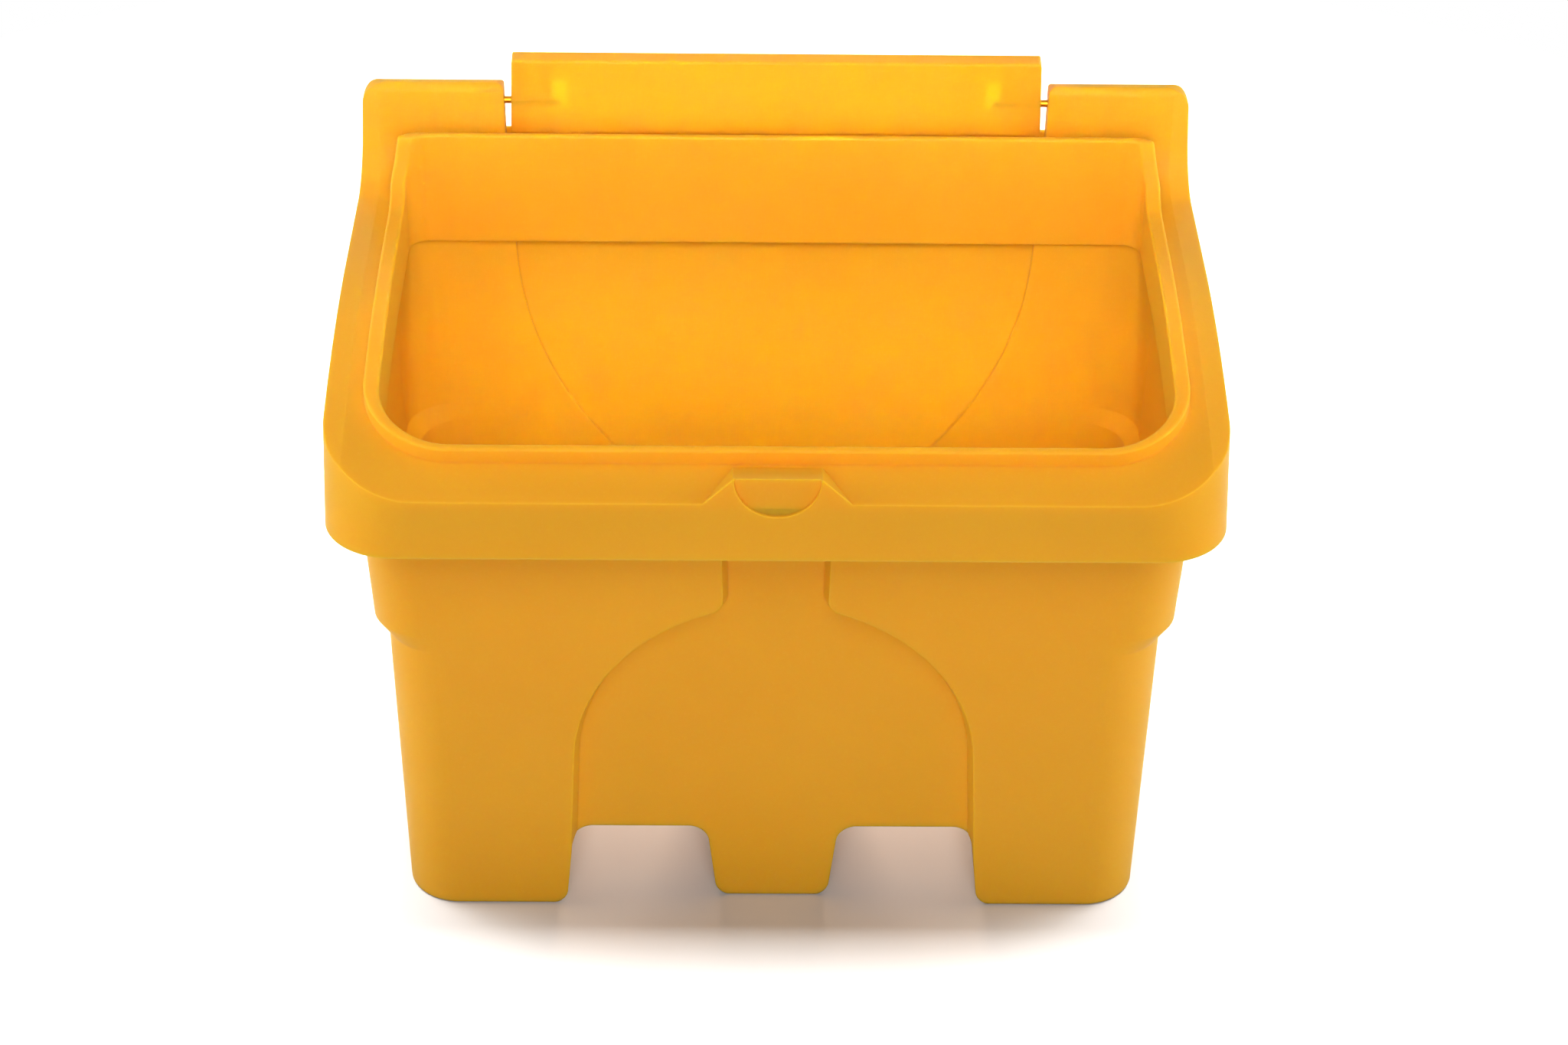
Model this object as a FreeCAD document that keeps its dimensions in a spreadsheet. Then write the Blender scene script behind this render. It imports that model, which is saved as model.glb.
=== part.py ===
import FreeCAD, Part
import math
import os
import Sketcher

# Grit salt bin: one tapered moulding that stands on three hollow skids, and a lid that swings
# right over and hangs down behind it. Millimetres. +Z is up, the front faces -Y, +X is right.
# The origin is on the ground, under the middle of the bin.

os.makedirs("parts", exist_ok=True)
doc = FreeCAD.newDocument("grit_salt_bin")
V = FreeCAD.Vector

# Driving sizes: alias, value, what it is
SIZES = (
    # rim: the skirt, the deck that the lid shuts on, and the lip round the opening
    ("rim_half_width", 445, "half of the overall width"),
    ("rim_front", 285, "centre to the front of the skirt"),
    ("rim_rear", 276, "centre to the back of the skirt and towers"),
    ("skirt_height", 131, "skirt's lower edge below the level deck"),
    ("wall", 5, "thickness of the bin's moulding"),
    ("skirt_corner_low", 72, "front corner radius at the skirt's lower edge"),
    ("skirt_corner_high", 170, "front corner radius at the height of the towers"),
    ("rear_corner", 16, "rear corner radius of the skirt"),
    ("deck_height", 611, "height of the level part of the deck"),
    ("deck_arc_start", 65, "centre to where the deck starts to fall to the front"),
    ("deck_arc_radius", 960, "radius of the deck's fall to the front"),
    ("deck_fall", 30, "angle that the deck's arc is drawn through"),
    ("deck_thick", 9, "thickness of the deck"),
    ("band_width", 22, "width of the deck's sloping outer band"),
    ("band_slope", 0.18, "fall of the outer band, per millimetre outwards"),
    ("cheek_slope", 0.3, "set-back of the towers' cheeks, per millimetre outwards"),
    ("upsweep_radius", 50, "radius where the deck turns up into the towers"),
    ("lip_height", 14, "lip above the deck"),
    ("lip_inset", 38, "skirt to the lip's outer side"),
    ("lip_inset_front", 46, "skirt to the lip's outer face at the front"),
    ("lip_inset_rear", 63, "skirt to the lip's outer face at the back"),
    ("lip_corner", 90, "front corner radius of the lip"),
    ("lip_rear_corner", 30, "rear corner radius of the lip"),
    ("lip_round", 3, "rounding of the lip's top edges"),
    ("lip_side_width", 16, "width of the lip at the sides"),
    ("lip_end_width", 9, "width of the lip at the front and back"),
    ("lip_rear_rise", 75.5, "level deck to the lip's top at the back"),
    ("lip_rise_radius", 50, "radius where the lip's top rises to the back"),
    ("lip_rise_start", 16, "inner face of the lip's back to the foot of that rise"),
    ("lip_rise_run", 12, "how far the rise leans back"),
    ("ledge_depth", 46, "deck to the inner ledge under the lip"),
    # hinge towers and the trough that the lid's tongue turns in
    ("tower_height", 109, "level deck to the towers' tops"),
    ("tower_depth", 22, "towers from front to back"),
    ("tower_length", 155, "skirt's side to a tower's inner end"),
    ("tower_lean", 6, "how far the towers' outer sides lean in at the top"),
    ("tower_corner", 24, "radius of the towers' top outer corners"),
    ("tower_round", 9, "rounding of the towers' long top edges"),
    ("tower_end_round", 7, "rounding of the towers' inner ends"),
    ("tower_end_lean", 1.5, "how far the towers' inner ends lean in at their feet"),
    ("tower_block", 25, "solid end of each tower that carries its pin"),
    # walls and skids
    ("wall_inset", 33, "skirt to the side wall below it"),
    ("wall_inset_front", 36, "skirt to the front wall below it"),
    ("wall_inset_rear", 64, "skirt to the rear wall below it"),
    ("wall_corner", 55, "corner radius of the walls"),
    ("step_fall", 124, "skirt's lower edge down to the ledge along the sides"),
    ("step_drop", 19, "height of the ledge's slope"),
    ("upper_inset", 40, "skirt to the side wall just above the side ledge"),
    ("lower_inset", 54, "skirt to the side wall just below the side ledge"),
    ("foot_inset", 60, "skirt to the side wall at the ground"),
    ("foot_inset_front", 59, "skirt to the front wall at the ground"),
    ("foot_inset_rear", 80, "skirt to the rear wall at the ground"),
    ("skid_round", 20, "rounding of the skids' lower edges beside the channels"),
    ("foot_round", 3, "rounding of the skids' other lower edges"),
    # front recess and fork channels
    ("arch_radius", 202, "radius of the arched recess"),
    ("arch_centre", 190, "height of the arch's centre"),
    ("arch_side_angle", 3.6, "lean of the recess's straight sides, in degrees"),
    ("recess_depth", 15, "depth of the recess in the front wall"),
    ("recess_draft", 0.35, "slope of the recess's sides, per millimetre of depth"),
    ("neck_half_width", 46, "half width of the recess's neck"),
    ("neck_round", 24, "radius between neck and arch"),
    ("channel_height", 97, "height of the fork channels"),
    ("channel_in_low", 58, "centre to a channel's inner side at the ground"),
    ("channel_in_high", 69, "centre to a channel's inner side at its top"),
    ("channel_out_low", 217, "centre to a channel's outer side at the ground"),
    ("channel_out_high", 208, "centre to a channel's outer side at its top"),
    ("channel_round", 22, "rounding of the channels' top corners"),
    # rear panel, front tab
    ("panel_depth", 6, "how far the rear panel is pushed back"),
    ("panel_inset", 158, "skirt's side to the rear panel's top corner"),
    ("panel_shoulder_inset", 169, "skirt's side to where the panel starts to narrow"),
    ("panel_shoulder", 420, "height where the panel starts to narrow"),
    ("panel_foot_half_width", 128, "half width of the rear panel's foot"),
    ("panel_foot", 230, "height of the rear panel's foot"),
    ("panel_round", 380, "radius where the panel starts to narrow"),
    ("panel_foot_round", 30, "corner radius of the panel's foot"),
    ("tab_drop", 38, "level deck down to the tab's top"),
    ("tab_half_width", 43.5, "half width of the tab's top"),
    ("tab_base_half_width", 78, "half width of the tab at its foot"),
    ("tab_height", 33, "height of the tab"),
    ("tab_rear_drop", 52, "deck's level down to the back of the tab's top"),
    ("scoop_radius", 42, "radius of the finger scoop in the tab"),
    ("scoop_depth", 4, "depth of the finger scoop"),
    # lid, as it lies when shut
    ("lid_wall", 4, "thickness of the lid's moulding"),
    ("lid_height", 81, "level deck to the lid's level top"),
    ("lid_arc_radius", 800, "radius of the lid's fall to the front"),
    ("lid_round", 16, "rounding of the lid's top edges"),
    ("lid_corner_share", 0.33, "where the lid's corner radius lies between the skirt's two"),
    ("lid_gap", 1.2, "lid to the deck that it shuts on"),
    ("lid_lip_gap", 1.5, "lip to the sides of the lid's opening behind"),
    ("lid_notch_gap", 3, "tab to the lid's notch"),
    ("lid_back_reach", 40, "hinge axis to the back edge of the lid's full width"),
    ("axis_inset", 9, "back of the towers to the hinge axis"),
    ("axis_rise", 86.5, "level deck to the hinge axis"),
    ("tongue_gap", 7.5, "tongue's end to the tower beside it"),
    ("tongue_taper", 0.04, "narrowing of the tongue's ends, per millimetre of reach"),
    ("tongue_over", 6, "hinge axis up to the tongue's top"),
    ("tongue_under", 13.5, "hinge axis down to the tongue's underside"),
    ("tongue_reach", 52.4, "tongue behind the hinge axis"),
    ("tongue_round", 3, "rounding of the tongue's upper back edge"),
    ("tongue_low_round", 2, "rounding of the tongue's lower back edge"),
    ("tongue_corner", 4, "corner radius of the tongue's back corners"),
    ("tongue_shoulder_round", 8, "rounding where the tongue's front slope meets its top"),
    ("cell_corner", 3, "corner radius of the tongue's cells and thin spots"),
    ("tongue_foot_reach", 51, "hinge axis to where the tongue leaves the lid's top"),
    ("thin_inset", 59.5, "tower's inner end to the middle of a thin spot in the tongue"),
    ("thin_width", 17, "width of a thin spot"),
    ("thin_length", 34, "length of a thin spot"),
    ("thin_shift", 12, "hinge axis to the middle of a thin spot"),
    ("thin_skin", 1.6, "plastic left over a thin spot"),
    ("open_angle", 263, "swing of the lid from shut to open"),
    ("tongue_end_block", 20, "solid end of the tongue that holds its pin"),
    ("rib_inset", 50, "tower's inner end to the inner face of a pin's rib in the tongue"),
    ("rib_thick", 10, "thickness of a pin's rib"),
    # hinge pins
    ("pin_radius", 4, "radius of a hinge pin"),
    ("pin_length", 82, "length of a hinge pin"),
    ("pin_in_tower", 22, "how far a hinge pin reaches into its tower"),
    ("pin_chamfer", 0.8, "chamfer on a pin's ends"),
    ("pin_end_gap", 1, "pin's ends to the bottoms of their bores"),
    ("running_clearance", 0.05, "pin to its bore in a tower, on the radius"),
    ("tight_clearance", 0.03, "pin to its bore in the lid, on the radius"),
)
dims = doc.addObject("Spreadsheet::Sheet", "Dims")
for row, (alias, value, note) in enumerate(SIZES, start=1):
    dims.set("A%d" % row, alias)
    dims.set("B%d" % row, str(value))
    dims.set("C%d" % row, note)
    dims.setAlias("B%d" % row, alias)
doc.recompute()


class Size:
    """A length that keeps both its number and the sheet expression that drives it."""

    def __init__(self, value, text):
        self.value = float(value)
        self.text = text

    def __add__(self, other):
        other = as_size(other)
        return Size(self.value + other.value, "(%s + %s)" % (self.text, other.text))

    def __sub__(self, other):
        other = as_size(other)
        return Size(self.value - other.value, "(%s - %s)" % (self.text, other.text))

    def __mul__(self, other):
        other = as_size(other)
        return Size(self.value * other.value, "(%s * %s)" % (self.text, other.text))

    def __truediv__(self, other):
        other = as_size(other)
        return Size(self.value / other.value, "(%s / %s)" % (self.text, other.text))

    def __radd__(self, other):
        return as_size(other) + self

    def __rsub__(self, other):
        return as_size(other) - self

    def __rmul__(self, other):
        return as_size(other) * self

    def __neg__(self):
        return Size(-self.value, "(0 - %s)" % self.text)

    def sin(self):
        return Size(math.sin(math.radians(self.value)), "sin(%s * 1deg)" % self.text)

    def cos(self):
        return Size(math.cos(math.radians(self.value)), "cos(%s * 1deg)" % self.text)

    def tan(self):
        return Size(math.tan(math.radians(self.value)), "tan(%s * 1deg)" % self.text)

    def acos(self):
        return Size(math.degrees(math.acos(self.value)), "(acos(%s) / 1deg)" % self.text)


def as_size(value):
    return value if isinstance(value, Size) else Size(value, "%.6g" % value)


def size(alias):
    return Size(dims.get(alias), "Dims.%s" % alias)


def between(low, high, share):
    """The size that lies a share of the way from low to high."""
    return low + (high - low) * share


# Sizes that follow from the driving ones, so that the pieces keep fitting when one changes
WALL = size("wall")
RIM_X = size("rim_half_width")
RIM_FRONT = size("rim_front")
RIM_REAR = size("rim_rear")
DECK = size("deck_height")
SKIRT_LOW = DECK - size("skirt_height")
STEP = SKIRT_LOW - size("step_fall")
BAND_START = RIM_X - size("band_width")
LIP_X = RIM_X - size("lip_inset")
LIP_FRONT = RIM_FRONT - size("lip_inset_front")
LIP_REAR = RIM_REAR - size("lip_inset_rear")
LIP_REAR_TOP = DECK + size("lip_rear_rise")
TOWER_TOP = DECK + size("tower_height")
TOWER_FRONT = RIM_REAR - size("tower_depth")
TOWER_INNER = RIM_X - size("tower_length")
AXIS_Y = RIM_REAR - size("axis_inset")
AXIS_Z = DECK + size("axis_rise")
FOOT_FRONT = RIM_FRONT - size("foot_inset_front")
FOOT_REAR = RIM_REAR - size("foot_inset_rear")
TAB_TOP = DECK - size("tab_drop")
TAB_BASE = TAB_TOP - size("tab_height")
LID_TOP = DECK + size("lid_height")
ROOF = TOWER_TOP + 10
LID_REAR = AXIS_Y - size("lid_back_reach")
TONGUE_X = TOWER_INNER - size("tongue_gap")
TONGUE_TOP = AXIS_Z + size("tongue_over")
TONGUE_LOW = AXIS_Z - size("tongue_under")
TONGUE_FOOT = AXIS_Y - size("tongue_foot_reach")
TONGUE_END = AXIS_Y + size("tongue_reach")


# Cutting shapes reach this far past what they cut, and the sky stands this high over the bin
OVER = 20
PAST = 60
FAR = 1200
NONE = as_size(0)

# Sketches. A corner is (across, up, radius): two sizes and the radius that rounds it, or 0.
PLANES = {
    "XY": FreeCAD.Rotation(),
    "XZ": FreeCAD.Rotation(V(1, 0, 0), 90),
    "YZ": FreeCAD.Rotation(V(1, 1, 1), 120),
}


def unit(a, b):
    d = b - a
    return d * (1.0 / d.Length)


def add_outline(sketch, corners):
    """Draws a closed outline of lines and tangent arcs, held by named constraints."""
    points = [V(as_size(c[0]).value, as_size(c[1]).value, 0) for c in corners]
    radii = [as_size(c[2]) for c in corners]
    count = len(corners)
    starts, ends = [], []
    for i, point in enumerate(points):
        before, after = points[i - 1], points[(i + 1) % count]
        to_before, to_after = unit(point, before), unit(point, after)
        reach = 0.0
        if radii[i].value > 0:
            half = to_before.getAngle(to_after) / 2
            reach = radii[i].value / math.tan(half)
        ends.append(point + to_before * reach)
        starts.append(point + to_after * reach)
    lines = []
    for i in range(count):
        nxt = (i + 1) % count
        lines.append(sketch.addGeometry(Part.LineSegment(starts[i], ends[nxt]), False))
    for i, point in enumerate(points):
        line_in, line_out = lines[i - 1], lines[i]
        if radii[i].value > 0:
            to_before, to_after = unit(point, points[i - 1]), unit(point, points[(i + 1) % count])
            half = to_before.getAngle(to_after) / 2
            inward = to_before + to_after
            inward.normalize()
            centre = point + inward * (radii[i].value / math.sin(half))
            from_in, from_out = ends[i] - centre, starts[i] - centre
            anticlockwise = from_in.cross(from_out).z > 0
            low, high = (from_in, from_out) if anticlockwise else (from_out, from_in)
            low_angle = math.atan2(low.y, low.x)
            high_angle = math.atan2(high.y, high.x)
            if high_angle < low_angle:
                high_angle += 2 * math.pi
            circle = Part.Circle(centre, V(0, 0, 1), radii[i].value)
            index = sketch.addGeometry(Part.ArcOfCircle(circle, low_angle, high_angle), False)
            first, last = (1, 2) if anticlockwise else (2, 1)
            sketch.addConstraint(Sketcher.Constraint("Tangent", line_in, 2, index, first))
            sketch.addConstraint(Sketcher.Constraint("Tangent", index, last, line_out, 1))
            drive(sketch, Sketcher.Constraint("Radius", index, radii[i].value), radii[i])
            mark = sketch.addGeometry(Part.Point(point), True)
            sketch.addConstraint(Sketcher.Constraint("PointOnObject", mark, 1, line_in))
            sketch.addConstraint(Sketcher.Constraint("PointOnObject", mark, 1, line_out))
            place_point(sketch, mark, corners[i])
        else:
            sketch.addConstraint(Sketcher.Constraint("Coincident", line_in, 2, line_out, 1))
            place_point(sketch, line_out, corners[i])


def drive(sketch, constraint, value):
    index = sketch.addConstraint(constraint)
    if "Dims" in value.text:
        sketch.setExpression("Constraints[%d]" % index, value.text)


def place_point(sketch, geometry, corner):
    for kind, axis in (("DistanceX", 0), ("DistanceY", 1)):
        value = as_size(corner[axis])
        drive(sketch, Sketcher.Constraint(kind, -1, 1, geometry, 1, value.value), value)


def outline(name, plane, offset, corners):
    """A sketch in a plane, that far along the world axis the plane faces."""
    sketch = doc.addObject("Sketcher::SketchObject", name)
    offset = as_size(offset)
    axis = {"XY": "z", "XZ": "y", "YZ": "x"}[plane]
    base = V(0, 0, 0)
    setattr(base, axis, offset.value)
    sketch.Placement = FreeCAD.Placement(base, PLANES[plane])
    if "Dims" in offset.text:
        sketch.setExpression("Placement.Base.%s" % axis, offset.text)
    add_outline(sketch, corners)
    return sketch


def prism(name, sketch, direction, length, mirror=False):
    """Extrudes a sketch a length along a direction, or half of it each way."""
    body = doc.addObject("Part::Extrusion", name)
    body.Base = sketch
    body.DirMode = "Custom"
    body.Dir = direction
    body.Solid = True
    body.Symmetric = mirror
    length = as_size(length)
    body.LengthFwd = length.value
    if "Dims" in length.text:
        body.setExpression("LengthFwd", length.text)
    return body


def loft(name, sketches):
    body = doc.addObject("Part::Loft", name)
    body.Sections = sketches
    body.Solid = True
    body.Ruled = True
    return body


def fuse(name, shapes):
    body = doc.addObject("Part::MultiFuse", name)
    body.Shapes = shapes
    return body


def cut(name, base, tools):
    tool = tools[0] if len(tools) == 1 else fuse(name + "_tools", tools)
    body = doc.addObject("Part::Cut", name)
    body.Base = base
    body.Tool = tool
    return body


def common(name, first, second):
    body = doc.addObject("Part::Common", name)
    body.Base = first
    body.Tool = second
    return body


def rounded_plan(name, height, half_width, front, rear, front_round, rear_round):
    """A level rectangle with rounded corners; front and rear are distances from the centre."""
    return outline(name, "XY", height, (
        (-half_width, -front, front_round),
        (half_width, -front, front_round),
        (half_width, rear, rear_round),
        (-half_width, rear, rear_round),
    ))


def falling_line(level, radius, rear):
    """A line seen from the side: level at the back, falling along an arc to the front."""
    fall = size("deck_fall")
    reach = radius * (fall / 2).tan()
    corner_y = size("deck_arc_start") - reach
    past = reach * 1.2
    return (
        (corner_y - past * fall.cos(), level - past * fall.sin(), 0),
        (corner_y, level, radius),
        (rear, level, 0),
    )


def closed_above(corners):
    """Closes a side line far above it, so that it takes in everything over the line."""
    sky = as_size(FAR)
    if corners[-1][1].value < FAR:
        corners += ((corners[-1][0], sky, 0),)
    return corners + ((corners[0][0], sky, 0),)


def deck_line(drop, rise_at, rise_radius, top, top_round, rear):
    """The deck's line with its rise into the towers and their rounded tops."""
    line = falling_line(DECK + drop, size("deck_arc_radius") + drop, rise_at)
    level = line[2][1]
    corners = line[:2] + ((rise_at, level, rise_radius), (rise_at, top, top_round))
    if top_round.value:
        low = top - top_round * 4
        beyond = rear + PAST
        corners += ((rear, top, top_round), (rear, low, 0), (beyond, low, 0))
    return closed_above(corners)


def across(name, corners, half_width):
    """Extrudes a side outline both ways from the middle."""
    return prism(name, outline(name + "_side", "YZ", 0, corners), V(1, 0, 0), half_width * 2, True)


def sloping_bands(name, start, corners):
    """Takes in what lies over the deck's outer bands and the towers' cheeks."""
    bands = []
    for sign, tag in ((1, "right"), (-1, "left")):
        sketch = outline("%s_%s_side" % (name, tag), "YZ", start * sign, corners)
        lean = V(sign, size("cheek_slope").value, -size("band_slope").value)
        bands.append(prism("%s_%s" % (name, tag), sketch, lean, as_size(PAST)))
    return bands


def tower_mask(name, inset, inner, floor, end_round):
    """Takes in what lies outside the towers' front view: beside, above and between them."""
    low = DECK - 3
    sky = as_size(FAR)
    masks = []
    for sign, tag in ((1, "right"), (-1, "left")):
        sketch = outline("%s_%s_view" % (name, tag), "XZ", RIM_REAR + PAST, (
            ((RIM_X - inset) * sign, low, 0),
            ((RIM_X - size("tower_lean") - inset) * sign, TOWER_TOP - inset,
             size("tower_corner") - inset),
            (inner * sign, TOWER_TOP - inset, end_round),
            ((inner - size("tower_end_lean")) * sign, floor, 0),
            (0, floor, 0),
            (0, sky, 0),
            (sky * sign, sky, 0),
            (sky * sign, low, 0),
        ))
        masks.append(prism("%s_%s" % (name, tag), sketch, V(0, -1, 0), RIM_REAR + PAST - LIP_REAR))
    return masks


def is_plumb(edge):
    """An edge that runs straight up."""
    box = edge.BoundBox
    return max(box.XMax - box.XMin, box.YMax - box.YMin) < 0.01


def is_steep(edge):
    """An edge that mostly runs up and down."""
    box = edge.BoundBox
    return box.ZMax - box.ZMin > 0.7 * (box.DiagonalLength + 0.001)


def picked_fillet(name, base, picks):
    """Rounds edges of a shape; a pick is a radius and the test for its edges, the first wins."""
    doc.recompute()
    edges = []
    for number, edge in enumerate(base.Shape.Edges, start=1):
        radius = next((radius for radius, wanted in picks if wanted(edge)), 0)
        if radius:
            edges.append((number, radius, radius))
    if not edges:
        raise RuntimeError(name + ": no edge to round")
    body = doc.addObject("Part::Fillet", name)
    body.Base = base
    body.Edges = edges
    return body


# The rim: a skirt with a thin deck, hollow from below, that carries the two hinge towers.
RISE = size("upsweep_radius")
DECK_THICK = size("deck_thick")
rim_low = rounded_plan("rim_low_plan", SKIRT_LOW, RIM_X, RIM_FRONT, RIM_REAR,
                       size("skirt_corner_low"), size("rear_corner"))
rim_high = rounded_plan("rim_high_plan", ROOF, RIM_X, RIM_FRONT, RIM_REAR,
                        size("skirt_corner_high"), size("rear_corner"))
rim_block = loft("rim_block", [rim_low, rim_high])
outer_line = deck_line(0, TOWER_FRONT, RISE, TOWER_TOP, size("tower_round"), RIM_REAR)
band_line = deck_line(0, TOWER_FRONT, RISE, as_size(FAR), NONE, RIM_REAR)
rim_form = cut("rim_form", rim_block, [
    across("over_deck", outer_line, RIM_X + OVER),
    *sloping_bands("over_band", BAND_START, band_line),
    *tower_mask("tower_view", NONE, TOWER_INNER, DECK,
                size("tower_end_round")),
])

hollow_low = rounded_plan("hollow_low_plan", SKIRT_LOW - WALL, RIM_X - WALL, RIM_FRONT - WALL,
                          RIM_REAR - WALL, size("skirt_corner_low") - WALL,
                          size("rear_corner") - WALL)
hollow_high = rounded_plan("hollow_high_plan", ROOF, RIM_X - WALL, RIM_FRONT - WALL,
                           RIM_REAR - WALL, size("skirt_corner_high") - WALL,
                           size("rear_corner") - WALL)
under_line = deck_line(-DECK_THICK, TOWER_FRONT + WALL, RISE + DECK_THICK, as_size(FAR),
                       NONE, RIM_REAR)
rim_hollow = cut("rim_hollow", loft("hollow_block", [hollow_low, hollow_high]), [
    across("over_hollow", under_line, RIM_X + OVER),
    *sloping_bands("over_hollow_band", BAND_START - WALL, under_line),
    *tower_mask("tower_hollow_view", WALL, TOWER_INNER + size("tower_block"),
                DECK - DECK_THICK, NONE),
])

# The tab in the middle of the front, with its finger scoop.
TAB_X = size("tab_half_width")
TAB_FLARE = (size("tab_base_half_width") - TAB_X) / size("tab_height")


def tab_outline(name, y, top, grow):
    foot_x = TAB_X + grow + TAB_FLARE * (top - TAB_BASE)
    return outline(name, "XZ", y, (
        (-foot_x, TAB_BASE, 0),
        (foot_x, TAB_BASE, 0),
        (TAB_X + grow, top, 0),
        (-TAB_X - grow, top, 0),
    ))


tab_rear_top = DECK - size("tab_rear_drop")
tab = loft("tab", [
    tab_outline("tab_front_view", -RIM_FRONT, TAB_TOP, NONE),
    tab_outline("tab_rear_view", -LIP_FRONT + 1, tab_rear_top, NONE),
])
scoop_disc = doc.addObject("Part::Cylinder", "scoop")
scoop_disc.setExpression("Radius", "Dims.scoop_radius")
scoop_disc.setExpression("Height", "Dims.scoop_depth + 20")
scoop_disc.Placement = FreeCAD.Placement(V(0, 0, 0), FreeCAD.Rotation(V(1, 0, 0), 90))
scoop_disc.setExpression("Placement.Base.y", (size("scoop_depth") - RIM_FRONT).text)
scoop_disc.setExpression("Placement.Base.z", (TAB_TOP - 1).text)

rim = cut("rim", fuse("rim_with_tab", [rim_form, tab]), [rim_hollow, scoop_disc])

# The lip round the opening: a raised ring that climbs behind the opening.
SIDE = size("lip_side_width")
END = size("lip_end_width")
LEDGE = size("ledge_depth")
lip_rise = LIP_REAR - END - size("lip_rise_start")
lip_line = falling_line(DECK + size("lip_height"), size("deck_arc_radius") + size("lip_height"),
                        lip_rise)
lip_line = lip_line[:2] + (
    (lip_rise, DECK + size("lip_height"), size("lip_rise_radius")),
    (lip_rise + size("lip_rise_run"), LIP_REAR_TOP, 0),
    (RIM_REAR, LIP_REAR_TOP, 0),
)
ledge_line = falling_line(DECK - LEDGE - 2, size("deck_arc_radius") - LEDGE - 2,
                          RIM_REAR)
lip_side = lip_line + tuple(reversed(ledge_line))
lip_block = prism("lip_block", rounded_plan(
    "lip_plan", SKIRT_LOW - 40, LIP_X, LIP_FRONT, LIP_REAR, size("lip_corner"),
    size("lip_rear_corner")), V(0, 0, 1), as_size(300))
opening = prism("opening", rounded_plan(
    "opening_plan", SKIRT_LOW, LIP_X - SIDE, LIP_FRONT - END, LIP_REAR - END,
    size("lip_corner") - SIDE, size("lip_rear_corner") - END), V(0, 0, 1), as_size(300))
lip_sharp = common("lip_sharp", cut("lip_ring", lip_block, [opening]),
                   across("lip_and_band", lip_side, RIM_X))


def on_lip_top(edge):
    """An edge that runs round the top of the lip, along either of its faces."""
    middle = edge.valueAt(edge.getParameterByLength(edge.Length / 2))
    radius = size("deck_arc_radius").value
    run = max(0.0, size("deck_arc_start").value - middle.y)
    deck_here = DECK.value - (radius - math.sqrt(radius ** 2 - run ** 2))
    return middle.z > deck_here + 1 and not is_plumb(edge)


lip_band = picked_fillet("lip_band", lip_sharp, [(size("lip_round").value, on_lip_top)])


# Walls: tapered, stepped along the sides, with an arched recess and two fork channels.
def wall_sections(name, inset, foot, rear_push):
    """Level outlines of the walls from the ground up, moved inwards by the inset."""
    step_low = STEP - size("step_drop")
    head = SKIRT_LOW + 140
    upper = RIM_X - size("upper_inset")
    rim_wall = RIM_X - size("wall_inset")
    head_half = between(upper, rim_wall, (head - STEP) / size("step_fall"))
    levels = (
        (foot, RIM_X - size("foot_inset")),
        (step_low, RIM_X - size("lower_inset")),
        (STEP, upper),
        (head, head_half),
    )
    front_top = RIM_FRONT - size("wall_inset_front")
    rear_top = RIM_REAR - size("wall_inset_rear")
    corner = size("wall_corner") - inset
    sections = []
    for number, (height, half) in enumerate(levels):
        share = height / SKIRT_LOW
        sections.append(rounded_plan(
            "%s_plan_%d" % (name, number), height, half - inset,
            between(FOOT_FRONT, front_top, share) - inset,
            between(FOOT_REAR, rear_top, share) - inset + rear_push, corner, corner))
    return sections


def arch_view(name, y, grow):
    """The arched recess with its neck, seen from the front, grown outwards all round."""
    radius = size("arch_radius") + grow
    neck = size("neck_half_width") + grow
    blend = size("neck_round") * 0.95 - grow
    low = -size("channel_height") / 4
    lean = size("arch_side_angle")
    meet = ((size("neck_half_width") + size("neck_round")) /
            (size("arch_radius") + size("neck_round"))).acos()
    half_turn = (meet - lean) / 2
    middle = (meet + lean) / 2
    shoulder = radius / half_turn.cos()
    foot_x = (radius + (size("arch_centre") - low) * lean.sin()) / lean.cos()
    corner_x = shoulder * middle.cos()
    corner_z = size("arch_centre") + shoulder * middle.sin()
    neck_z = size("arch_centre") + (radius - neck * meet.cos()) / meet.sin()
    head = SKIRT_LOW + 120
    right = ((foot_x, low, 0), (corner_x, corner_z, radius), (neck, neck_z, blend), (neck, head, 0))
    left = tuple((-x, z, r) for x, z, r in reversed(right))
    return outline(name, "XZ", y, right + left)


def recess(name, grow, deep_block):
    """What the front recess takes away: the arch, down to the recess's floor."""
    reach = size("recess_depth") * 2
    widening = size("recess_draft") * reach
    arch = loft(name + "_arch", [
        arch_view(name + "_near_view", -FOOT_FRONT - reach, grow + widening),
        arch_view(name + "_far_view", -FOOT_FRONT + reach, grow - widening),
    ])
    return cut(name, arch, [deep_block])


def channels(name, grow):
    """The two fork channels right through from front to back, grown outwards."""
    tunnels = []
    reach = (RIM_FRONT + RIM_REAR) * 1.2
    for sign, tag in ((1, "right"), (-1, "left")):
        inner, outer = size("channel_in_low") - grow, size("channel_out_low") + grow
        inner_top, outer_top = size("channel_in_high") - grow, size("channel_out_high") + grow
        top = size("channel_height") + grow
        sketch = outline("%s_%s_view" % (name, tag), "XZ", reach / 2, (
            (between(inner, inner_top, as_size(-0.2)) * sign, top * -0.2, 0),
            (inner_top * sign, top, size("channel_round") + grow),
            (outer_top * sign, top, size("channel_round") + grow),
            (between(outer, outer_top, as_size(-0.2)) * sign, top * -0.2, 0),
        ))
        tunnels.append(prism("%s_%s" % (name, tag), sketch, V(0, -1, 0), reach))
    return tunnels


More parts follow.
